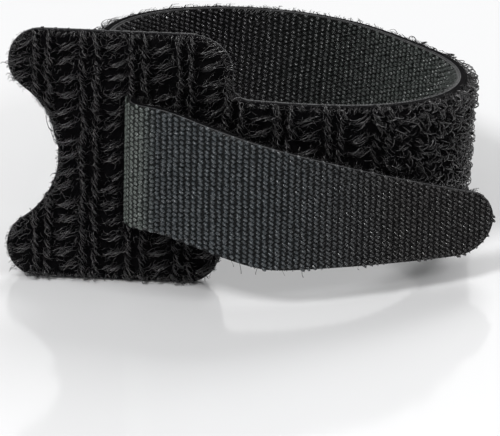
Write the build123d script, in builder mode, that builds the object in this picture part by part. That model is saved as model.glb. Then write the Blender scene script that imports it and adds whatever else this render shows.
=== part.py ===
from build123d import *
from math import atan, atan2, cos, degrees, radians, sin, tan
import os

# Hook and loop cable tie, rolled into a loop and tucked through the slot of its own head.
# Two webs are bonded back to back and cut together: a woven hook web and a knitted loop web.
# Millimetres, +Z up. It is drawn with the head upright and facing -Y: the strap runs off to
# +X, returns behind the head and comes out of the slot. Then the whole tie leans back until
# the strap touches the floor, and its origin goes to the middle of its footprint.

# Webs
strapWidth = 12.7
hookThickness = 0.6
loopThickness = 1.9

# Head: a plate with a hollowed end between two lobes, and a slot for the strap
headHeight = 25.8
lobeRadius = 3.2
hollowDepth = 5.2
slotToHollow = 8.0
slotToShoulder = 9.1
shoulderRadius = 4.0
strapFillet = 1.5
slotClearance = 0.1

# Loop: radius of the inner face and angle of each stretch, and the droop of the strap
frontRadius = 31.0
frontAngle = 17.0
bundleRadius = 15.3
bundleAngle = 110.0
backRadius = 70.0
backAngle = 7.5
leftRadius = 15.9
leftAngle = 127.5
droopAngle = 3.0
rootInset = 4.0
rootSpare = 0.25

# Half twist behind the head, which turns the hook web outward: a point that it passes, from
# the slot, the head's back face and the head's middle height, and how late most of it comes
twistAngle = 180.0
twistAside = 4.4
twistBehind = 6.5
twistRise = 0.0
twistLag = 2.2
twistSteps = 15
standOff = 0.3

# Tail: radius and angle of each stretch, and the outline that it is cut to
bendInnerRadius = 0.5
bendAngle = 60.0
approachRadius = 20.0
approachAngle = 48.0
runRadius = 75.0
runAngle = 21.0
slopeStart = 3.2
tailPitch = 17.0
taperStart = 13.5
tipReach = 32.6
tipRadius = 3.5
tipHeight = 6.85
outlineRound = 5.0
cutDepth = 60.0

# Places that follow from the sizes
tieThickness = hookThickness + loopThickness
headMid = headHeight / 2
strapTop = headMid + strapWidth / 2
strapFoot = headMid - strapWidth / 2
droop = radians(droopAngle)
pitch = tan(radians(tailPitch))
rootRun = strapFillet + strapWidth / 2 * sin(droop) + rootSpare
loopStart = Vector(rootRun, 0)
tailStart = Vector(-tieThickness / 2, -tieThickness)
rimSamples = 200

loopArcs = [
    (frontRadius, frontAngle),
    (bundleRadius, bundleAngle),
    (backRadius, backAngle),
    (leftRadius, leftAngle),
]

# On the tail the hook web is outside, so its radii are the larger ones
tailArcs = [
    (bendInnerRadius + tieThickness, bendAngle),
    (approachRadius, approachAngle),
    (runRadius, runAngle),
]

# The strap droops about the edge of the head, in the plane of the head's back face
loopPlane = Plane(
    origin=(slotToShoulder, 0, headMid),
    x_dir=(cos(droop), 0, -sin(droop)),
    z_dir=(sin(droop), 0, cos(droop)),
)
loopFloor = loopPlane.offset(-strapWidth / 2)


def directionOf(heading):
    return Vector(cos(radians(heading)), sin(radians(heading)))


def rightOf(heading):
    return Vector(sin(radians(heading)), -cos(radians(heading)))


def arcChain(start, heading, arcs, shift):
    # Tangent arcs that all turn left, shifted to the right of the named radii
    point = start + rightOf(heading) * shift
    for radius, angle in arcs:
        way = directionOf(heading)
        arc = JernArc(start=point, tangent=way, radius=radius + shift, arc_size=angle)
        point = arc @ 1
        heading += angle
    return point


def wallOutline(start, heading, arcs, near, far, lead):
    # The closed outline of a wall between two shifts of one chain, with a straight lead-in
    back = start - directionOf(heading) * lead
    ends = []
    for shift in (near, far):
        aside = rightOf(heading) * shift
        Line(back + aside, start + aside)
        ends.append(arcChain(start, heading, arcs, shift))
    Line(back + rightOf(heading) * near, back + rightOf(heading) * far)
    Line(ends[0], ends[1])


def headOutline():
    # The lobes touch the hollow between them, and the root of the strap is filleted in
    lobeHeight = headMid - lobeRadius
    lobeInset = hollowDepth - lobeRadius
    hollowRadius = (lobeInset**2 + lobeHeight**2 - lobeRadius**2) / (2 * hollowDepth)
    hollowX = -slotToHollow - hollowRadius
    lobeX = -slotToHollow - lobeInset
    hollowTurn = degrees(atan2(lobeHeight, lobeX - hollowX))
    with BuildSketch() as outline:
        with BuildLine():
            CenterArc((hollowX, 0), hollowRadius, 0, hollowTurn)
            CenterArc((lobeX, lobeHeight), lobeRadius, 90, 90 + hollowTurn)
            Line((lobeX, headMid), (slotToShoulder, headMid))
            Line((slotToShoulder, headMid), (slotToShoulder, 0))
            Line((slotToShoulder, 0), (-slotToHollow, 0))
        make_face()
        mirror(about=Plane.XZ)
        fillet(outline.vertices().group_by(Axis.X)[-1].sort_by(Axis.Y)[0], shoulderRadius)
        fillet(outline.vertices().group_by(Axis.X)[-1].sort_by(Axis.Y)[-1], shoulderRadius)
        with Locations((slotToShoulder, 0)):
            Rectangle(2 * rootRun, strapWidth, rotation=-droopAngle)
        roots = outline.vertices().filter_by(
            lambda v: abs(v.X - slotToShoulder) < rootRun / 2 and abs(v.Y) < strapWidth / 2 + rootRun
        )
        fillet(roots, strapFillet)
        Rectangle(
            tieThickness + 2 * slotClearance,
            strapWidth + 2 * slotClearance,
            mode=Mode.SUBTRACT,
        )
    return outline.sketch


def headPlate(near, far):
    outline = headOutline()
    with BuildPart() as plate:
        with BuildSketch(Plane.XZ.offset(near)):
            with Locations((0, headMid)):
                add(outline)
        extrude(amount=far - near)
    return plate.part


def loopWall(near, far):
    with BuildPart() as wall:
        with BuildSketch(loopFloor):
            with BuildLine():
                wallOutline(loopStart, 0, loopArcs, near, far, rootRun + rootInset)
            make_face()
        extrude(amount=strapWidth)
    return wall.part


def tangentTo(circle, point, side):
    # The line from a point that touches a circle, on its lower side (0) or upper side (-1)
    return ConstrainedLines(
        circle,
        point,
        selector=lambda lines: lines.sort_by(lambda line: (line @ 0.5).Y)[side],
        mode=Mode.PRIVATE,
    ).edge()


def tailOutline():
    # Level through the bend, then sloping down, and narrowed from below to a round tip
    slopeFoot = strapFoot - pitch * (taperStart - slopeStart)
    behindBend = -2 * tieThickness
    tipCircle = CenterArc((tipReach, tipHeight), tipRadius, 0, 360)
    top = tangentTo(tipCircle, (slopeStart, strapTop), -1)
    foot = tangentTo(tipCircle, (taperStart, slopeFoot), 0)
    with BuildSketch(Plane.XZ) as outline:
        with BuildLine():
            add(top)
            ThreePointArc(top @ 0, (tipReach + tipRadius, tipHeight), foot @ 0)
            add(foot)
            Polyline(
                foot @ 1,
                (slopeStart, strapFoot),
                (behindBend, strapFoot),
                (behindBend, strapTop),
                top @ 1,
            )
        make_face()
        corners = outline.vertices().filter_by(lambda v: v.X in (slopeStart, taperStart))
        fillet(corners, outlineRound)
    return outline.sketch


def tailWall(near, far):
    # The strap through the slot, round the bend and along the tail
    outline = tailOutline()
    with BuildPart() as die:
        extrude(outline, amount=cutDepth, both=True)
    with BuildPart() as wall:
        with BuildSketch():
            with BuildLine():
                wallOutline(tailStart, 270, tailArcs, -near, -far, tieThickness + standOff)
            make_face()
        extrude(amount=headHeight)
        add(die.part, mode=Mode.INTERSECT)
    return wall.part


def eased(t):
    return t * t * (3 - 2 * t)


def twistPlanes():
    # Planes across the strap from the end of the loop to the slot. Their x axis points from
    # the hook web to the loop web, and goes from outward, under the strap, to inward
    with BuildLine() as rail:
        arcChain(loopStart, 0, loopArcs, tieThickness / 2)
    end = loopPlane.from_local_coords(rail.line @ 1)
    endWay = loopPlane.from_local_coords(rail.line @ 1 + rail.line % 1) - end
    middle = Vector(-twistAside, twistBehind, headMid + twistRise)
    slot = Vector(0, standOff, headMid)
    path = Spline(end, middle, slot, tangents=[endWay, Vector(0, -1, 0)])
    planes = []
    for step in range(twistSteps + 1):
        t = step / twistSteps
        ease = eased(t)
        onward = path % t
        right = onward.cross(loopPlane.z_dir * (1 - ease) + Vector(0, 0, ease)).normalized()
        upward = right.cross(onward)
        turn = radians(twistAngle * eased(t**twistLag))
        across = right * cos(turn) - upward * sin(turn)
        planes.append(Plane(origin=path @ t, x_dir=across, z_dir=onward))
    return planes


def twistBand(near, far):
    planes = twistPlanes()
    with BuildPart() as band:
        for plane in planes:
            with BuildSketch(plane):
                with Locations((near - tieThickness / 2, 0)):
                    Rectangle(far - near, strapWidth, align=(Align.MIN, Align.CENTER))
        loft()
    return band.part


def leanAngle():
    # How far back the tie tips before the strap's outer lower edge meets the floor
    with BuildLine() as rim:
        arcChain(loopStart, 0, loopArcs, tieThickness)
    samples = [loopFloor.from_local_coords(rim.line @ (i / rimSamples)) for i in range(rimSamples)]
    return degrees(atan(min(point.Z / point.Y for point in samples if point.Y > bundleRadius)))


def webStretches(near, far):
    # One web between two distances from the inner face of the strap
    return [headPlate(near, far), loopWall(near, far), twistBand(near, far), tailWall(near, far)]


hookStretches = webStretches(0, hookThickness)
loopStretches = webStretches(hookThickness, tieThickness)

with BuildPart() as hook_web:
    add(hookStretches)

with BuildPart() as loop_web:
    add(loopStretches)

# Both webs lean back and settle together, with the origin under the middle of the pair
lean = Rot(X=-leanAngle())
box = Compound([lean * hook_web.part, lean * loop_web.part]).bounding_box()
settle = Pos(-box.center().X, -box.center().Y, -box.min.Z) * lean
hook_web.part = settle * hook_web.part
loop_web.part = settle * loop_web.part
hook_web.part.label = "hook_web"
loop_web.part.label = "loop_web"

os.makedirs("parts", exist_ok=True)
export_step(hook_web.part, "parts/hook_web.step")
export_step(loop_web.part, "parts/loop_web.step")
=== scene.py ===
from math import cos, pi, radians, sin, tan

import bpy
import numpy as np
from mathutils import Matrix


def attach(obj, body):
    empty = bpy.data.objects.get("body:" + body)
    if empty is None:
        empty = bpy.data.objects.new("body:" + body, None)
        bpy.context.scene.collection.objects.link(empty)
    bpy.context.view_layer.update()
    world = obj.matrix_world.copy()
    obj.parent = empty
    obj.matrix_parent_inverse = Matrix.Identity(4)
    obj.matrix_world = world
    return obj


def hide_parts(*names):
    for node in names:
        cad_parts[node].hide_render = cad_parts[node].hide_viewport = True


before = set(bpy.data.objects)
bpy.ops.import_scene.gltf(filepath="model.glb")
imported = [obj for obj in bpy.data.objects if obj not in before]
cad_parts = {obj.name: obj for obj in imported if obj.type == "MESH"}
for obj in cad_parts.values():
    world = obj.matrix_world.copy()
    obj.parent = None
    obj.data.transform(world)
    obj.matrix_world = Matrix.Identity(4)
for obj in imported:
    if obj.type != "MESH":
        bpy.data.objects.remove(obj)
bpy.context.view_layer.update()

# The tie is made as it is in the mill: the webs, yarns and pile are laid out flat, in
# millimetres (x along the strap from the slot, y across it, z from the hook face to the
# pile face). Then every piece is folded along one path, and set down in metres.

tie = {
    "width": 12.7,
    "thickness": 2.5,
    "headHeight": 25.8,
    "slotToHollow": 8.0,
    "hollowDepth": 5.2,
    "lobeRadius": 3.2,
    "slotToShoulder": 9.1,
    "shoulderRadius": 4.0,
    "rootFillet": 1.5,
    "slotWide": 2.7,
    "slotHigh": 12.9,
}
fold = {
    "rootRun": 2.0824,
    "loopArcs": [(31.0, 17.0), (15.3, 110.0), (70.0, 7.5), (15.9, 127.5)],
    "droop": 3.0,
    "droopFrom": 6.0,
    "twistBy": (-4.4, 6.5, 12.9),
    "twistTurn": 180.0,
    "twistLag": 2.2,
    "slotBack": 0.3,
    "tailArcs": [(3.0, 60.0), (20.0, 48.0), (75.0, 21.0)],
    "slopeStart": 3.2,
    "slopeRound": 0.8,
    "tailPitch": 17.0,
    "taperStart": 13.5,
    "taperRound": 0.22,
    "tip": (32.6, 6.85),
    "tipRadius": 3.5,
    "tipTangent": (1.0, 3.355),
    "narrowAfter": 2.0,
    "lean": 9.12088,
    "place": (-11.45, -17.4596),
    "step": 0.1,
}
chance = np.random.default_rng(11)
half = tie["width"] / 2
mid = tie["headHeight"] / 2
headLeft = -tie["slotToHollow"] - tie["hollowDepth"]
rootEnd = tie["slotToShoulder"] + tie["rootFillet"]


def easeIn(t):
    t = np.clip(t, 0, 1)
    return t * t * (3 - 2 * t)


def ahead(heading):
    return np.array([cos(heading), sin(heading), 0.0])


def leftOf(heading):
    return np.array([-sin(heading), cos(heading), 0.0])


def layArcs(arcs, start, heading, deepSide):
    # points of the hook face and the way into the pile, along arcs that all turn left
    points, deeps, length, lengths = [], [], 0.0, []
    for radius, angle in arcs:
        turn = radians(angle)
        centre = start + leftOf(heading) * radius
        for k in range(1, int(radius * turn / fold["step"]) + 2):
            share = min(1.0, k * fold["step"] / (radius * turn))
            way = heading + turn * share
            points.append(centre - leftOf(way) * radius)
            deeps.append(leftOf(way) * deepSide)
            lengths.append(length + radius * turn * share)
        start, heading, length = points[-1], heading + turn, lengths[-1]
    return np.array(points), np.array(deeps), np.array(lengths), heading


def layPath():
    droop = radians(fold["droop"])
    along = np.array([cos(droop), 0, -sin(droop)])
    up = np.array([sin(droop), 0, cos(droop)])
    root = np.array([tie["slotToShoulder"], 0, mid])

    # the head is flat, and the strap begins to droop near its root
    x = np.arange(headLeft - 1, tie["slotToShoulder"] + fold["rootRun"], fold["step"])
    angle = droop * easeIn((x - fold["droopFrom"]) / (rootEnd - fold["droopFrom"]))
    beyond = np.maximum(x - tie["slotToShoulder"], 0)
    spots = [np.c_[x - beyond + beyond * np.cos(angle), 0 * x, mid - beyond * np.sin(angle)]]
    acrosses = [np.c_[np.sin(angle), 0 * x, np.cos(angle)]]
    deeps = [np.tile([0.0, -1.0, 0.0], (len(x), 1))]
    stations = [x]

    # the loop, in its drooping plane
    start = np.array([fold["rootRun"], 0.0, 0.0])
    p, d, s, heading = layArcs(fold["loopArcs"], start, 0.0, -1)
    spots.append(root + p[:, :1] * along + p[:, 1:2] * [0, 1, 0])
    deeps.append(d[:, :1] * along + d[:, 1:2] * [0, 1, 0])
    acrosses.append(np.tile(up, (len(s), 1)))
    stations.append(s + tie["slotToShoulder"] + fold["rootRun"])

    # the half twist behind the head, on a smooth curve through one point
    knots = np.array(
        [
            spots[-1][-1] + deeps[-1][-1] * tie["thickness"] / 2,
            fold["twistBy"],
            [0, fold["slotBack"], mid],
        ]
    )
    way = ahead(heading)
    first = way[0] * along + way[1] * np.array([0, 1, 0])
    last = np.array([0, -1.0, 0])
    run = np.linalg.norm(np.diff(knots, axis=0), axis=1)
    between = 3 * (run[0] / run[1] * (knots[2] - knots[1]) + run[1] / run[0] * (knots[1] - knots[0]))
    between = (between - run[1] * first - run[0] * last) / (2 * (run[0] + run[1]))
    count = int(run.sum() / fold["step"])
    t = np.arange(1, count + 1) / count
    where = t * run.sum()
    leg = (where > run[0]).astype(int)
    q = ((where - leg * run[0]) / run[leg])[:, None]
    span = run[leg][:, None]
    slopes = np.array([first, between, last])
    p0, p1, m0, m1 = knots[leg], knots[leg + 1], slopes[leg] * span, slopes[leg + 1] * span
    curve = (1 + 2 * q) * (1 - q) ** 2 * p0 + q * (1 - q) ** 2 * m0
    curve += q**2 * (3 - 2 * q) * p1 + q**2 * (q - 1) * m1
    onward = np.gradient(np.vstack([knots[:1], curve]), axis=0)[1:]
    onward /= np.linalg.norm(onward, axis=1)[:, None]
    ease = easeIn(t)[:, None]
    right = np.cross(onward, up * (1 - ease) + np.array([0, 0, 1]) * ease)
    right /= np.linalg.norm(right, axis=1)[:, None]
    upward = np.cross(right, onward)
    turn = radians(fold["twistTurn"]) * easeIn(t ** fold["twistLag"])[:, None]
    deep = right * np.cos(turn) - upward * np.sin(turn)
    lengths = np.cumsum(np.linalg.norm(np.diff(np.vstack([knots[:1], curve]), axis=0), axis=1))
    spots.append(curve - deep * tie["thickness"] / 2)
    deeps.append(deep)
    acrosses.append(np.cross(deep, onward))
    stations.append(stations[-1][-1] + lengths)
    slotAt = stations[-1][-1]

    # straight through the slot, round the bend and along the tail
    x = np.arange(fold["step"], fold["slotBack"] + tie["thickness"], fold["step"])
    spots.append(np.c_[0 * x - tie["thickness"] / 2, fold["slotBack"] - x, 0 * x + mid])
    deeps.append(np.tile([1.0, 0, 0], (len(x), 1)))
    acrosses.append(np.tile([0, 0, -1.0], (len(x), 1)))
    stations.append(slotAt + x)
    start = np.array([-tie["thickness"] / 2, -tie["thickness"], mid])
    p, d, s, heading = layArcs(fold["tailArcs"], start, 1.5 * pi, 1)
    ramp = fold["slopeRound"] * np.logaddexp(0, (p[:, 0] - fold["slopeStart"]) / fold["slopeRound"])
    p[:, 2] -= tan(radians(fold["tailPitch"])) * ramp
    spots.append(p)
    deeps.append(d)
    acrosses.append(np.tile([0, 0, -1.0], (len(s), 1)))
    bendAt = slotAt + fold["slotBack"] + tie["thickness"]
    stations.append(bendAt + s)
    path = {
        "at": np.concatenate(stations),
        "spot": np.vstack(spots),
        "across": np.vstack(acrosses),
        "deep": np.vstack(deeps),
        "slotAt": slotAt,
        "bendAt": bendAt,
    }
    tail = path["at"] > bendAt
    tipEdge = fold["tip"][0] + fold["tipRadius"]
    path["endAt"] = np.interp(tipEdge, path["spot"][tail, 0], path["at"][tail])
    return path


path = layPath()
print("path laid,", round(path["endAt"] - headLeft, 1), "mm of tie")


def onPath(name, x):
    return np.stack([np.interp(x, path["at"], path[name][:, k]) for k in range(3)], axis=-1)


def foldPoints(flat):
    # flat millimetres to folded millimetres, with the head upright, then the lean, in metres
    p = onPath("spot", flat[:, 0])
    p = p + onPath("across", flat[:, 0]) * flat[:, 1:2] + onPath("deep", flat[:, 0]) * flat[:, 2:3]
    lean = radians(fold["lean"])
    placeX, placeY = fold["place"]
    y = placeY + p[:, 1] * cos(lean) + p[:, 2] * sin(lean)
    z = p[:, 2] * cos(lean) - p[:, 1] * sin(lean)
    return np.c_[p[:, 0] + placeX, y, z] / 1000


def tailEdges(x):
    # the lowest and highest y of the strap: full width, then cut to the tapered, round tip
    u = np.interp(x, path["at"], path["spot"][:, 0])
    centre = np.interp(x, path["at"], path["spot"][:, 2])
    tipX, tipZ = fold["tip"]
    r = fold["tipRadius"]
    tangentX, tangentZ = fold["tipTangent"]
    pitch = tan(radians(fold["tailPitch"]))
    topFrom, topTo = (fold["slopeStart"], mid + half), (tipX + tangentX, tipZ + tangentZ)
    footFrom = (fold["taperStart"], mid - half - pitch * (fold["taperStart"] - fold["slopeStart"]))
    top = topFrom[1] + (topTo[1] - topFrom[1]) * (u - topFrom[0]) / (topTo[0] - topFrom[0])
    foot = footFrom[1] + (tipZ - r - footFrom[1]) * (u - footFrom[0]) / (tipX - footFrom[0])
    cap = np.sqrt(np.maximum(r * r - (u - tipX) ** 2, 0))
    top = np.where(u > tipX + tangentX, tipZ + cap, top)
    foot = np.where(u > tipX, tipZ - cap, foot)
    onTail = x > path["bendAt"]
    low = np.where(onTail & (u > fold["slopeStart"]), np.maximum(centre - top, -half), -half)
    soft = fold["taperRound"]
    narrowed = half - soft * np.logaddexp(0, (half - centre + foot) / soft)
    high = np.where(onTail & (u > fold["slopeStart"] + fold["narrowAfter"]), narrowed, half)
    return low, high


def headEdges(y):
    # the lowest and highest x of the head at each height from its middle
    y = np.abs(y)
    lobe = tie["lobeRadius"]
    lobeY = mid - lobe
    inset = tie["hollowDepth"] - lobe
    hollow = (inset**2 + lobeY**2 - lobe**2) / (2 * tie["hollowDepth"])
    hollowX = -tie["slotToHollow"] - hollow
    lobeX = -tie["slotToHollow"] - inset
    meetY = lobeY * hollow / (hollow + lobe)
    inHollow = hollowX + np.sqrt(np.maximum(hollow**2 - y**2, 0))
    onLobe = lobeX - np.sqrt(np.maximum(lobe**2 - (y - lobeY) ** 2, 0))
    left = np.where(y < meetY, inHollow, onLobe)
    corner = tie["shoulderRadius"]
    cornerY = mid - corner
    shoulder = tie["slotToShoulder"]
    round1 = shoulder - corner + np.sqrt(np.maximum(corner**2 - (y - cornerY) ** 2, 0))
    root = tie["rootFillet"]
    rootY = half + root
    round2 = rootEnd - np.sqrt(np.maximum(root**2 - (rootY - y) ** 2, 0))
    right = np.where(y > cornerY, round1, np.where(y < rootY, round2, shoulder))
    return left, np.where(y <= half, rootEnd, right)


def roomInside(x, y):
    # how far a flat place is inside the tie's cut edges, in millimetres
    left, right = headEdges(np.minimum(np.abs(y), mid))
    low, high = tailEdges(x)
    onStrap = np.minimum(y - low, high - y)
    onStrap = np.minimum(onStrap, path["endAt"] - x)
    slot = np.maximum(np.abs(x) - tie["slotWide"] / 2, np.abs(y) - tie["slotHigh"] / 2)
    onHead = np.minimum(np.minimum(x - left, mid - np.abs(y)), slot)
    onHead = np.where(np.abs(y) > half, np.minimum(onHead, right - x), onHead)
    return np.where(x > rootEnd, onStrap, onHead)


def select(*pieces):
    bpy.ops.object.select_all(action="DESELECT")
    for piece in pieces:
        piece.select_set(True)
    bpy.context.view_layer.objects.active = pieces[0]


def foldPiece(piece):
    # the flat place is kept as the piece's UV, in millimetres, before the mesh is folded
    mesh = piece.data
    flat = np.empty(len(mesh.vertices) * 3)
    mesh.vertices.foreach_get("co", flat)
    flat = flat.reshape(-1, 3)
    corners = np.empty(len(mesh.loops), int)
    mesh.loops.foreach_get("vertex_index", corners)
    for old in list(mesh.uv_layers):
        mesh.uv_layers.remove(old)
    layer = mesh.uv_layers.new(name="flat")
    layer.data.foreach_set("uv", flat[corners, :2].ravel())
    mesh.vertices.foreach_set("co", foldPoints(flat).ravel())
    mesh.update()


web = {
    "hookWeb": {"from": 0.14, "to": 0.6},
    "pileWeb": {"from": 0.6, "to": 1.25},
    "headRows": 16,
    "strapRows": 18,
    "sideColumns": 8,
    "slotColumns": 2,
    "strapSpacing": 0.8,
    "bendSpacing": 0.22,
    "bendBefore": 1.0,
    "bendAfter": 4.0,
    "tipZone": 4.0,
    "tipShare": 0.35,
    "tipSpacing": 0.02,
    "tipMargin": 0.004,
    "edgeRound": 0.07,
    "sharpAngle": 50.0,
}


def webStations():
    x = rootEnd
    xs = []
    finest = web["tipSpacing"]
    while x < path["endAt"] - finest:
        xs.append(x)
        bent = path["slotAt"] - web["bendBefore"] < x < path["bendAt"] + web["bendAfter"]
        toTip = path["endAt"] - x
        step = web["bendSpacing"] if bent else web["strapSpacing"]
        if toTip < web["tipZone"]:
            step = max(finest, min(step, web["tipShare"] * toTip + finest / 2))
        x += step
    return np.array(xs + [path["endAt"] - web["tipMargin"]])


def makeWeb(name):
    # one flat grid for the head and the strap, its outer columns and slot taken out again
    outer = half + (mid - half) * np.sin(np.linspace(0, pi / 2, web["headRows"]))
    outer = np.r_[tie["slotHigh"] / 2, outer[1:]]
    inner = np.linspace(-half, half, web["strapRows"])
    y = np.r_[-outer[::-1], inner, outer]
    left, right = headEdges(y)
    slot = tie["slotWide"] / 2
    side, inSide = web["sideColumns"], web["slotColumns"]
    columns = [left + (-slot - left) * k / side for k in range(side)]
    columns += [0 * y - slot + 2 * slot * k / inSide for k in range(inSide)]
    columns += [slot + (right - slot) * k / side for k in range(side + 1)]
    headColumns = len(columns)
    strapX = webStations()[1:]
    low, high = tailEdges(strapX)
    bpy.ops.object.select_all(action="DESELECT")
    bpy.ops.mesh.primitive_grid_add(
        x_subdivisions=headColumns + len(strapX) - 1, y_subdivisions=len(y) - 1, size=1
    )
    piece = bpy.context.object
    piece.name = name
    mesh = piece.data
    grid = np.zeros((len(y), headColumns + len(strapX), 3))
    for k, column in enumerate(columns):
        grid[:, k, 0], grid[:, k, 1] = column, y
    share = np.clip((y + half) / (2 * half), 0, 1)
    for k, x in enumerate(strapX):
        grid[:, headColumns + k, 0] = x
        grid[:, headColumns + k, 1] = low[k] + (high[k] - low[k]) * share
    grid[:, :, 2] = web[name]["from"]
    mesh.vertices.foreach_set("co", grid.ravel())
    mesh.update()

    # faces beside the strap and in the slot go
    centres = np.empty(len(mesh.polygons) * 3)
    mesh.polygons.foreach_get("center", centres)
    order = np.arange(len(mesh.polygons))
    row, column = order // (grid.shape[1] - 1), order % (grid.shape[1] - 1)
    firstStrap, lastStrap = len(outer), len(outer) + len(inner) - 2
    offStrap = (column >= headColumns - 1) & ((row < firstStrap) | (row > lastStrap))
    inSlot = (column >= side) & (column < side + inSide)
    inSlot &= (row >= firstStrap - 1) & (row <= lastStrap + 1)
    bpy.ops.object.mode_set(mode="EDIT")
    bpy.ops.mesh.select_all(action="DESELECT")
    bpy.ops.object.mode_set(mode="OBJECT")
    mesh.polygons.foreach_set("select", offStrap | inSlot)
    bpy.ops.object.mode_set(mode="EDIT")
    bpy.ops.mesh.select_mode(type="FACE")
    bpy.ops.mesh.delete(type="FACE")
    bpy.ops.mesh.select_mode(type="VERT")
    bpy.ops.mesh.select_all(action="SELECT")
    bpy.ops.mesh.delete_loose()
    bpy.ops.object.mode_set(mode="OBJECT")
    thick = piece.modifiers.new("thickness", "SOLIDIFY")
    thick.thickness = web[name]["to"] - web[name]["from"]
    thick.offset = 1
    thick.use_even_offset = False
    cut = piece.modifiers.new("cutEdge", "BEVEL")
    cut.width = web["edgeRound"]
    cut.segments = 2
    cut.angle_limit = radians(web["sharpAngle"])
    bpy.ops.object.modifier_apply(modifier="thickness")
    bpy.ops.object.modifier_apply(modifier="cutEdge")
    foldPiece(piece)
    bpy.ops.object.shade_smooth_by_angle(angle=radians(web["sharpAngle"]))
    print(name, "made,", len(piece.data.polygons), "faces")
    return piece


def copyShapes(name, template, faces, places):
    # one small shape laid at many flat places, each with its own turn and size, as one piece
    count = len(places["x"])
    p = np.asarray(template)[None, :, :] * np.stack(
        [places["long"], places["wide"], places["high"]], axis=-1
    )[:, None, :]
    if "bow" in places:
        p[:, :, 1] += places["bow"][:, None] * (1 - (2 * np.asarray(template)[None, :, 0]) ** 2)
    c, s = np.cos(places["turn"])[:, None], np.sin(places["turn"])[:, None]
    x = p[:, :, 0] * c - p[:, :, 1] * s + places["x"][:, None]
    y = p[:, :, 0] * s + p[:, :, 1] * c + places["y"][:, None]
    z = p[:, :, 2] + places["z"][:, None]
    flat = np.stack([x, y, z], axis=-1).reshape(-1, 3)
    size = len(template)
    everyFace = [tuple(v + k * size for v in face) for k in range(count) for face in faces]
    mesh = bpy.data.meshes.new(name)
    mesh.from_pydata(flat.tolist(), [], everyFace)
    mesh.update()
    piece = bpy.data.objects.new(name, mesh)
    bpy.context.scene.collection.objects.link(piece)
    foldPiece(piece)
    select(piece)
    bpy.ops.object.shade_smooth()
    print(name, "made,", count, "copies,", len(mesh.loops) - 2 * len(mesh.polygons), "triangles")
    return piece


def takeShape(piece):
    # the vertices and faces of a small modelled shape, which then goes away. They are put in
    # order of place, because a bisected mesh numbers them differently from run to run
    points = np.array([v.co for v in piece.data.vertices])
    order = np.lexsort(np.round(points, 5).T)
    rank = np.argsort(order)
    faces = []
    for polygon in piece.data.polygons:
        face = [int(rank[v]) for v in polygon.vertices]
        first = face.index(min(face))
        faces.append(tuple(face[first:] + face[:first]))
    bpy.data.objects.remove(piece)
    return points[order], sorted(faces)


def newNode(nodes, kind, **values):
    node = nodes.new(kind)
    for key, value in values.items():
        if key in node.inputs:
            node.inputs[key].default_value = value
        else:
            setattr(node, key, value)
    return node


def newFinish(name, roughness, specular=0.5):
    finish = bpy.data.materials.new(name)
    finish.use_nodes = True
    shader = finish.node_tree.nodes["Principled BSDF"]
    shader.inputs["Roughness"].default_value = roughness
    shader.inputs["Specular IOR Level"].default_value = specular
    return finish, finish.node_tree.nodes, finish.node_tree.links, shader


def colourRamp(nodes, stops):
    ramp = nodes.new("ShaderNodeValToRGB")
    points = ramp.color_ramp.elements
    while len(points) < len(stops):
        points.new(0.5)
    for point, (at, colour) in zip(points, stops):
        point.position = at
        point.color = (*colour, 1)
    return ramp


def setFinish(piece, finish):
    piece.data.materials.clear()
    piece.data.materials.append(finish)
    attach(piece, "root")


hookYarn = {
    "columnPitch": 0.66,
    "rowPitch": 0.47,
    "length": 0.29,
    "width": 0.205,
    "height": 0.27,
    "turn": 0.5,
    "depth": 0.03,
    "oddSize": 0.12,
    "pressed": 0.55,
    "edge": 0.0,
}


def makeHookYarns():
    # rounded yarn crossings, column after column, every other column half a step up
    bpy.ops.object.select_all(action="DESELECT")
    bpy.ops.mesh.primitive_uv_sphere_add(segments=6, ring_count=4, radius=1)
    knot = bpy.context.object
    bpy.ops.object.mode_set(mode="EDIT")
    bpy.ops.mesh.select_all(action="SELECT")
    bpy.ops.mesh.bisect(plane_co=(0, 0, 0), plane_no=(0, 0, 1), clear_outer=True)
    bpy.ops.object.mode_set(mode="OBJECT")
    template, faces = takeShape(knot)
    x, y, odd = knotPlaces()
    count = len(x)
    bend = easeIn((x - path["bendAt"] + 1.2) / 0.8) * easeIn((path["bendAt"] + 4.2 - x) / 1.2)
    big = 1 + hookYarn["oddSize"] * odd
    places = {
        "x": x + chance.normal(0, 0.03, count),
        "y": y + chance.normal(0, 0.025, count),
        "z": np.full(count, web["hookWeb"]["from"] + hookYarn["depth"]),
        "long": hookYarn["length"] * big * chance.uniform(0.9, 1.08, count),
        "wide": hookYarn["width"] * big * chance.uniform(0.9, 1.08, count),
        "high": hookYarn["height"] * (1 - hookYarn["pressed"] * bend) * chance.uniform(0.85, 1.15, count),
        "turn": hookYarn["turn"] + chance.normal(0, 0.2, count),
    }
    return copyShapes("hookYarns", template, faces, places)


def knotPlaces():
    # the yarn crossings that are inside the cut edge
    columns = np.arange(headLeft, path["endAt"], hookYarn["columnPitch"])
    rows = np.arange(-mid, mid, hookYarn["rowPitch"])
    x, y = np.meshgrid(columns, rows, indexing="ij")
    odd = (np.arange(len(columns)) % 2)[:, None] + 0 * y
    y = y + odd * hookYarn["rowPitch"] / 2
    keep = roomInside(x, y) > hookYarn["edge"]
    return x[keep], y[keep], odd[keep]


hookTip = {"from": 3.0, "depth": -0.12, "turn": 0.9, "length": (0.3, 0.5), "height": (0.1, 0.2)}


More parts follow.
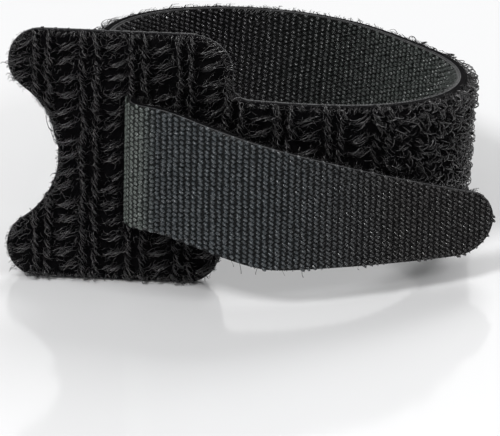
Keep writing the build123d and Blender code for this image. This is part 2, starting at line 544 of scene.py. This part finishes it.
def makeHookTips(fibre, faces):
    # one filament over each crossing of the tail, where the hooks stand up; its finish is the yarn made
    # brighter, a painted glint
    x, y = knotPlaces()[:2]
    onTail = x > path["bendAt"] + hookTip["from"]
    x, y = x[onTail], y[onTail]
    count = len(x)
    places = {
        "x": x + chance.normal(0, 0.07, count),
        "y": y + chance.normal(0, 0.06, count),
        "z": np.full(count, web["hookWeb"]["from"] + hookTip["depth"]),
        "long": chance.uniform(*hookTip["length"], count),
        "wide": -chance.uniform(0.7, 1.0, count),
        "high": -chance.uniform(*hookTip["height"], count),
        "turn": hookTip["turn"] + chance.normal(0, 0.5, count),
    }
    return copyShapes("hookTips", fibre, faces, places)


pile = {
    "repeat": 4.8,
    "row": 1.65,
    "ropeGap": 0.65,
    "foot": 1.15,
    "fibre": 0.038,
    "crinkle": 0.12,
    "strokeTurn": 0.45,
    "strokeLength": 2.35,
    "ropeTurn": -1.1,
    "ropeLength": 1.8,
    "fill": 9000,
    "fuzz": 4200,
    "rings": 3600,
    "openLoops": 1900,
    "openSize": (0.38, 0.62),
    "ringSize": (0.2, 0.4),
    "squeeze": 0.75,
    "opened": (20, 60),
    "loosened": 0.35,
    "thinned": 0.4,
    "edgeStep": 0.15,
    "edgeInset": 0.28,
    "frontEnd": 50,
    "backEnd": 94,
    "allOf": (-20, 200),
}


def modelFibre():
    # an arched filament, three-sided, one millimetre high
    bpy.ops.object.select_all(action="DESELECT")
    bpy.ops.mesh.primitive_cylinder_add(
        vertices=3, radius=pile["fibre"], depth=1, end_fill_type="NOTHING", rotation=(0, pi / 2, 0)
    )
    fibre = bpy.context.object
    bpy.ops.object.transform_apply(location=False, rotation=True, scale=False)
    bpy.ops.object.mode_set(mode="EDIT")
    bpy.ops.mesh.select_mode(type="EDGE")
    bpy.ops.mesh.select_all(action="DESELECT")
    bpy.ops.object.mode_set(mode="OBJECT")
    for edge in fibre.data.edges:
        a, b = (fibre.data.vertices[v].co for v in edge.vertices)
        edge.select = abs(a.x - b.x) > 0.5
    bpy.ops.object.mode_set(mode="EDIT")
    bpy.ops.mesh.subdivide(number_cuts=5)
    bpy.ops.mesh.select_mode(type="VERT")
    bpy.ops.object.mode_set(mode="OBJECT")
    for vertex in fibre.data.vertices:
        vertex.co.z += max(0.0, cos(pi * vertex.co.x)) ** 0.7
        vertex.co.y += pile["crinkle"] * sin(5 * pi * vertex.co.x)
    return takeShape(fibre)


def modelRing():
    # an open ring of one filament, standing on its edge
    bpy.ops.object.select_all(action="DESELECT")
    bpy.ops.mesh.primitive_torus_add(
        major_segments=10, minor_segments=3, major_radius=1, minor_radius=0.1, rotation=(pi / 2, 0, 0)
    )
    ring = bpy.context.object
    bpy.ops.object.transform_apply(location=False, rotation=True, scale=False)
    bpy.ops.object.mode_set(mode="EDIT")
    bpy.ops.mesh.select_all(action="SELECT")
    bpy.ops.mesh.bisect(plane_co=(0, 0, -0.55), plane_no=(0, 0, -1), clear_outer=True)
    bpy.ops.object.mode_set(mode="OBJECT")
    return takeShape(ring)


def squeezeAt(x):
    # the pile is pressed flat in the slot and inside the bend
    near = easeIn((x - path["slotAt"] + 2.5) / 1.5) * easeIn((path["bendAt"] + 5.0 - x) / 1.5)
    return 1 - pile["squeeze"] * near


def openedAt(x):
    # where the loop bends away to the right its pile stands open
    start, end = pile["opened"]
    return easeIn((x - start) / 12) * easeIn((end - x) / 10)


def pilePlaces(x, y, count, spreadX, spreadY, length, turn, spreadTurn, high, bow):
    x = np.repeat(x, count) + chance.normal(0, spreadX, len(x) * count)
    y = np.repeat(y, count) + chance.normal(0, spreadY, len(y) * count)
    total = len(x)
    loosened = 1 - pile["loosened"] * openedAt(x)
    return {
        "x": x,
        "y": y,
        "z": np.full(total, pile["foot"]),
        "long": length * loosened * chance.uniform(0.6, 1.15, total),
        "wide": chance.uniform(0.8, 1.2, total),
        "high": high * chance.uniform(0.55, 1.1, total) * squeezeAt(x),
        "turn": turn + chance.normal(0, spreadTurn, total),
        "bow": chance.normal(0, bow, total),
    }


def fillPlaces():
    # short filaments that cover the ground between the strokes, right up to the cut edge
    count = pile["fill"]
    x = chance.uniform(headLeft, path["endAt"], count)
    y = chance.uniform(-mid, mid, count)
    places = {
        "x": x,
        "y": y,
        "z": pile["foot"] + chance.uniform(-0.05, 0.05, count),
        "long": chance.uniform(0.6, 1.4, count),
        "wide": chance.uniform(0.8, 1.1, count),
        "high": chance.uniform(0.2, 0.85, count) * squeezeAt(x),
        "turn": pile["strokeTurn"] + chance.normal(0, 0.7, count),
        "bow": chance.normal(0, 0.12, count),
    }
    return cutPlaces(places, *pile["allOf"], 0.25)


def fuzzPlaces():
    # cut filaments that stand out sideways all along the edge
    y = np.linspace(-mid, mid, 200)
    left, right = headEdges(y)
    top = np.arange(left[-1], right[-1], pile["edgeStep"])
    strap = np.arange(rootEnd, path["endAt"], pile["edgeStep"])
    low, high = tailEdges(strap)
    rim = [np.c_[left, y, 0 * y + pi], np.c_[top, 0 * top + mid, 0 * top + pi / 2]]
    rim += [np.c_[top, 0 * top - mid, 0 * top - pi / 2]]
    rim += [np.c_[right, y, 0 * y][np.abs(y) > half]]
    rim += [np.c_[strap, high, 0 * strap + pi / 2], np.c_[strap, low, 0 * strap - pi / 2]]
    rim = np.vstack(rim)
    rim = rim[chance.integers(0, len(rim), pile["fuzz"])]
    count = len(rim)
    turn = rim[:, 2] + chance.normal(0, 0.75, count)
    return {
        "x": rim[:, 0] - pile["edgeInset"] * np.cos(rim[:, 2]),
        "y": rim[:, 1] - pile["edgeInset"] * np.sin(rim[:, 2]),
        "z": chance.uniform(0.7, 1.7, count),
        "long": chance.uniform(0.55, 1.2, count),
        "wide": chance.uniform(0.7, 1.0, count),
        "high": chance.uniform(0.1, 0.55, count) * squeezeAt(rim[:, 0]),
        "turn": turn,
        "bow": chance.normal(0, 0.1, count),
    }


def cutPlaces(places, low, high, margin):
    keep = roomInside(places["x"], places["y"]) > margin
    keep &= chance.uniform(0, 1, len(keep)) > pile["thinned"] * openedAt(places["x"])
    keep &= (places["x"] >= low) & (places["x"] < high)
    return {key: value[keep] for key, value in places.items()}


def joinPlaces(*several):
    return {key: np.concatenate([s[key] for s in several]) for key in several[0]}


def makePile():
    fibre, fibreFaces = modelFibre()
    ring, ringFaces = modelRing()
    repeats = np.arange(-3, 38) * pile["repeat"]
    rows = np.arange(-8, 9) * pile["row"]
    x, y = [a.ravel() for a in np.meshgrid(repeats, rows, indexing="ij")]
    field = pilePlaces(
        x + pile["repeat"] / 2 + chance.normal(0, 0.2, len(x)), y + chance.normal(0, 0.12, len(x)),
        12, 0.35, 0.17, pile["strokeLength"], pile["strokeTurn"], 0.17, 1.0, 0.05,
    )
    ropes = []
    for side in (-1, 1):
        for step in (0, 0.5):
            ropes.append(
                pilePlaces(
                    x + side * pile["ropeGap"] + chance.normal(0, 0.1, len(x)), y + step * pile["row"],
                    5, 0.13, 0.16,
                    pile["ropeLength"], pile["ropeTurn"], 0.14, 1.34, 0.08,
                )
            )
    fibres = joinPlaces(field, *ropes)
    first, last = pile["allOf"]
    cuts = {
        "headPile": (first, rootEnd),
        "frontPile": (rootEnd, pile["frontEnd"]),
        "backPile": (pile["frontEnd"], pile["backEnd"]),
        "twistPile": (pile["backEnd"], path["slotAt"]),
        "tailPile": (path["slotAt"], last),
    }
    pieces = []
    for name, (low, high) in cuts.items():
        places = cutPlaces(fibres, low, high, 0.3)
        pieces.append(copyShapes(name, fibre, fibreFaces, places))

    pieces.append(copyShapes("pileFill", fibre, fibreFaces, fillPlaces()))
    pieces.append(copyShapes("edgeFuzz", fibre, fibreFaces, fuzzPlaces()))

    # loose rings of filament stand out of the pile, most of all where the strap bends away
    count = pile["rings"]
    x = chance.uniform(headLeft, path["endAt"], count)
    y = chance.uniform(-mid, mid, count)
    size = chance.uniform(*pile["ringSize"], count)
    places = {
        "x": x,
        "y": y,
        "z": pile["foot"] + chance.uniform(0.5, 0.95, count),
        "long": size * chance.uniform(0.8, 1.3, count),
        "wide": size,
        "high": size * squeezeAt(x),
        "turn": chance.uniform(-pi, pi, count),
    }
    keep = squeezeAt(x) > 0.95
    places = {key: value[keep] for key, value in places.items()}
    pieces.append(copyShapes("pileRings", ring, ringFaces, cutPlaces(places, first, last, 0.35)))
    pieces.append(copyShapes("openLoops", ring, ringFaces, openPlaces()))
    pieces.append(copyShapes("strayCurls", ring, ringFaces, strayPlaces()))
    return pieces


def openPlaces():
    # big open curls where the strap turns away, as wide as the pile is deep
    count = pile["openLoops"]
    x = chance.uniform(15, 66, count)
    size = chance.uniform(*pile["openSize"], count)
    places = {
        "x": x,
        "y": chance.uniform(-half, half, count),
        "z": pile["foot"] + 0.25 + 0.75 * size + chance.uniform(0, 0.25, count),
        "long": size,
        "wide": 1.4 * size,
        "high": size * chance.uniform(0.8, 1.1, count),
        "turn": chance.uniform(-pi, pi, count),
    }
    keep = (chance.uniform(0, 1, count) < openedAt(x)) & (roomInside(x, places["y"]) > 0.0)
    return {key: value[keep] for key, value in places.items()}


def strayPlaces():
    # a few loose curls that hang from the lower edge of the tail
    x = path["bendAt"] + np.array([13.5, 14.4, 16.2, 18.9, 21.0, 27.0])
    high = tailEdges(x)[1]
    size = np.array([0.45, 0.7, 0.5, 0.4, 0.55, 0.35])
    return {
        "x": x,
        "y": high + 0.6 * size,
        "z": 0 * x + 0.5,
        "long": size,
        "wide": 0.5 * size,
        "high": 0.9 * size,
        "turn": np.array([0.9, 1.3, 1.9, 1.1, 1.6, 2.0]),
    }


bead = {"radius": 0.055, "depth": 0.55, "spacing": 0.35}


def makeCutEdge():
    # the heat-cut edge where the two webs are fused, all the way round the outline
    y = np.linspace(0, mid, 60)
    left, right = headEdges(y)
    top = np.arange(left[-1], right[-1], bead["spacing"])[1:]
    down = (y > half)[::-1]
    strapX = np.arange(rootEnd, path["endAt"] - 1, bead["spacing"])
    strapX = np.r_[strapX, path["endAt"] - np.geomspace(1, 0.005, 14)]
    low, high = tailEdges(strapX)
    upper = [np.c_[left, y], np.c_[top, 0 * top + mid], np.c_[right[::-1][down], y[::-1][down]]]
    upper = np.vstack(upper)
    lower = upper[::-1][:-1] * [1, -1]
    outline = np.vstack([upper, np.c_[strapX, high], np.c_[strapX, low][::-1], lower])
    line = bpy.data.curves.new("cutEdge", "CURVE")
    line.dimensions = "3D"
    line.bevel_depth = bead["radius"]
    line.bevel_resolution = 1
    spline = line.splines.new("POLY")
    spline.points.add(len(outline) - 1)
    for point, (x, y) in zip(spline.points, outline):
        point.co = (x, y, bead["depth"], 1)
    spline.use_cyclic_u = True
    edge = bpy.data.objects.new("cutEdge", line)
    bpy.context.scene.collection.objects.link(edge)
    select(edge)
    bpy.ops.object.convert(target="MESH")
    edge = bpy.context.object
    foldPiece(edge)
    bpy.ops.object.shade_smooth()
    print("cutEdge made")
    return edge


# tones of the grey hook yarn with light and shade painted in: dark is partly painted shade, green and
# blue are partly painted light, and the bend tone is a painted highlight
hookColour = {
    "green": (0.034, 0.041, 0.038),
    "dark": (0.009, 0.008, 0.010),
    "bendHighlight": (0.088, 0.102, 0.094),
    "blue": (0.034, 0.040, 0.045),
    "brown": (0.007, 0.006, 0.006),
    "span": 180.0,
}


def hookFinish(name, paintedLightLevel, specular):
    # grey yarn, its tone partly painted light and shade along the strap: the inside of the loop painted
    # dark near the head as its shade and lighter further out where it faces the lamps, a painted
    # highlight on the bend after the slot, the tail painted lighter near the bend where it faces the
    # light, and darker towards the tip
    finish, nodes, links, shader = newFinish(name, 0.42, specular)
    place = nodes.new("ShaderNodeUVMap")
    place.uv_map = "flat"
    parts = nodes.new("ShaderNodeSeparateXYZ")
    links.new(place.outputs["UV"], parts.inputs[0])
    along = newNode(nodes, "ShaderNodeMath", operation="DIVIDE")
    along.inputs[1].default_value = hookColour["span"]
    links.new(parts.outputs["X"], along.inputs[0])
    b = path["bendAt"] / hookColour["span"]
    # the level makes lit and shaded copies of the yarn: above one it is a painted glint, below one it is
    # painted shade, and one is the yarn itself
    green, dark, bendHighlight, blue, brown = [
        tuple(paintedLightLevel * c for c in hookColour[tone]) for tone in ("green", "dark", "bendHighlight", "blue", "brown")
    ]
    # stops along the strap: painted shade and light on the loop, a painted highlight at the bend, painted
    # light on the tail just after it
    stops = [(0.1, dark), (0.2, green), (0.3, green), (0.42, dark), (b - 0.012, dark), (b, bendHighlight)]
    stops += [(b + 0.018, bendHighlight), (b + 0.03, blue), (b + 0.09, blue), (b + 0.17, brown)]
    ramp = colourRamp(nodes, stops)
    links.new(along.outputs[0], ramp.inputs["Fac"])
    blotch = newNode(nodes, "ShaderNodeTexNoise", Scale=1.3, Detail=8.0, Roughness=0.85)
    links.new(place.outputs["UV"], blotch.inputs["Vector"])
    shade = colourRamp(nodes, [(0.35, (0.35, 0.35, 0.37)), (0.65, (1.6, 1.6, 1.55))])
    links.new(blotch.outputs["Fac"], shade.inputs["Fac"])
    tone = newNode(nodes, "ShaderNodeMix", data_type="RGBA", blend_type="MULTIPLY")
    tone.inputs[0].default_value = 1
    links.new(ramp.outputs["Color"], tone.inputs[6])
    links.new(shade.outputs["Color"], tone.inputs[7])
    links.new(tone.outputs[2], shader.inputs["Base Color"])
    strands = newNode(nodes, "ShaderNodeTexWave", Scale=1.7, Distortion=2.5, Detail=2.0)
    strands.bands_direction = "DIAGONAL"
    links.new(place.outputs["UV"], strands.inputs["Vector"])
    bump = newNode(nodes, "ShaderNodeBump", Strength=0.9, Distance=0.00005)
    links.new(strands.outputs["Fac"], bump.inputs["Height"])
    links.new(bump.outputs["Normal"], shader.inputs["Normal"])
    gloss = newNode(nodes, "ShaderNodeMapRange")
    gloss.inputs["To Min"].default_value = 0.16
    gloss.inputs["To Max"].default_value = 0.38
    links.new(strands.outputs["Fac"], gloss.inputs["Value"])
    links.new(gloss.outputs["Result"], shader.inputs["Roughness"])
    return finish


def pileFinish(name, dark, light, roughness, specular):
    finish, nodes, links, shader = newFinish(name, roughness, specular)
    place = nodes.new("ShaderNodeTexCoord")
    noise = newNode(nodes, "ShaderNodeTexNoise", Scale=900.0, Detail=5.0, Roughness=0.65)
    links.new(place.outputs["Object"], noise.inputs["Vector"])
    ramp = colourRamp(nodes, [(0.35, dark), (0.7, light)])
    links.new(noise.outputs["Fac"], ramp.inputs["Fac"])
    links.new(ramp.outputs["Color"], shader.inputs["Base Color"])
    fine = newNode(nodes, "ShaderNodeTexNoise", Scale=9000.0, Detail=2.0)
    links.new(place.outputs["Object"], fine.inputs["Vector"])
    bump = newNode(nodes, "ShaderNodeBump", Strength=0.4, Distance=0.00003)
    links.new(fine.outputs["Fac"], bump.inputs["Height"])
    links.new(bump.outputs["Normal"], shader.inputs["Normal"])
    return finish


yarnFinish = hookFinish("hookYarnFinish", 1.0, 0.6)
# the hook tips: the yarn tones made brighter, as a painted glint
tipGlintFinish = hookFinish("hookTipPaintedGlint", 2.4, 1.0)
# the ground between the yarns: the yarn tones made much darker, as painted shade between them
groundShadeFinish = hookFinish("hookGroundPaintedShade", 0.12, 0.15)
fibreFinish = pileFinish("pileFibreFinish", (0.0015, 0.0015, 0.002), (0.022, 0.0195, 0.021), 0.22, 0.9)
knitFinish = pileFinish("pileGroundFinish", (0.0015, 0.0015, 0.002), (0.004, 0.0035, 0.004), 0.9, 0.05)
edgeFinish = pileFinish("fusedEdgeFinish", (0.03, 0.03, 0.032), (0.1, 0.1, 0.104), 0.5, 0.3)

hookBase = makeWeb("hookWeb")
setFinish(hookBase, groundShadeFinish)
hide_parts("hook_web")
pileBase = makeWeb("pileWeb")
setFinish(pileBase, knitFinish)
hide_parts("loop_web")
setFinish(makeHookYarns(), yarnFinish)
setFinish(makeHookTips(*modelFibre()), tipGlintFinish)
for piece in makePile():
    setFinish(piece, fibreFinish)
setFinish(makeCutEdge(), edgeFinish)
print("tie made")

studio = {
    "floor": (0.93, 0.932, 0.94),
    "floorSize": 4.0,
    "world": 0.4,
    "key": {"at": (-0.3, -0.35, 0.6), "size": 0.18, "power": 3.3},
    "fill": {"at": (0.5, -0.25, 0.45), "size": 0.2, "power": 1.4},
    "back": {"at": (0.1, 0.5, 0.55), "size": 0.3, "power": 2.4},
}


def makeFloor():
    bpy.ops.object.select_all(action="DESELECT")
    bpy.ops.mesh.primitive_plane_add(size=studio["floorSize"])
    floor = bpy.context.object
    floor.name = "floor"
    finish, nodes, links, shader = newFinish("floorFinish", 0.1, 0.5)
    shader.inputs["IOR"].default_value = 3.2
    place = nodes.new("ShaderNodeTexCoord")
    noise = newNode(nodes, "ShaderNodeTexNoise", Scale=14.0, Detail=4.0)
    links.new(place.outputs["Object"], noise.inputs["Vector"])
    base = studio["floor"]
    ramp = colourRamp(nodes, [(0.3, tuple(0.985 * c for c in base)), (0.7, base)])
    links.new(noise.outputs["Fac"], ramp.inputs["Fac"])
    links.new(ramp.outputs["Color"], shader.inputs["Base Color"])
    floor.data.materials.append(finish)


def makeLights():
    world = bpy.data.worlds.new("studio")
    bpy.context.scene.world = world
    world.use_nodes = True
    sky = world.node_tree.nodes["Background"]
    sky.inputs["Color"].default_value = (1, 1, 1, 1)
    sky.inputs["Strength"].default_value = studio["world"]
    for name in ("key", "fill", "back"):
        lamp = bpy.data.lights.new(name, "AREA")
        lamp.size = studio[name]["size"]
        lamp.energy = studio[name]["power"]
        holder = bpy.data.objects.new(name, lamp)
        bpy.context.scene.collection.objects.link(holder)
        holder.location = studio[name]["at"]
        holder.rotation_euler = (-holder.location).to_track_quat("-Z", "Y").to_euler()


view = {"at": (0.0295, -0.4206, 0.2017), "lens": 319.3, "down": 25.707, "turn": 4.175, "roll": 0.599}


def makeCamera():
    camera = bpy.data.cameras.new("camera")
    camera.lens = view["lens"]
    camera.sensor_width = 36
    camera.clip_start = 0.01
    holder = bpy.data.objects.new("camera", camera)
    bpy.context.scene.collection.objects.link(holder)
    aim = Matrix.Rotation(radians(view["turn"]), 4, "Z")
    aim = aim @ Matrix.Rotation(radians(90 - view["down"]), 4, "X")
    aim = aim @ Matrix.Rotation(radians(view["roll"]), 4, "Z")
    aim.translation = view["at"]
    holder.matrix_world = aim
    bpy.context.scene.camera = holder


makeFloor()
makeLights()
makeCamera()
bpy.context.scene.view_settings.view_transform = "Standard"
print("studio made")
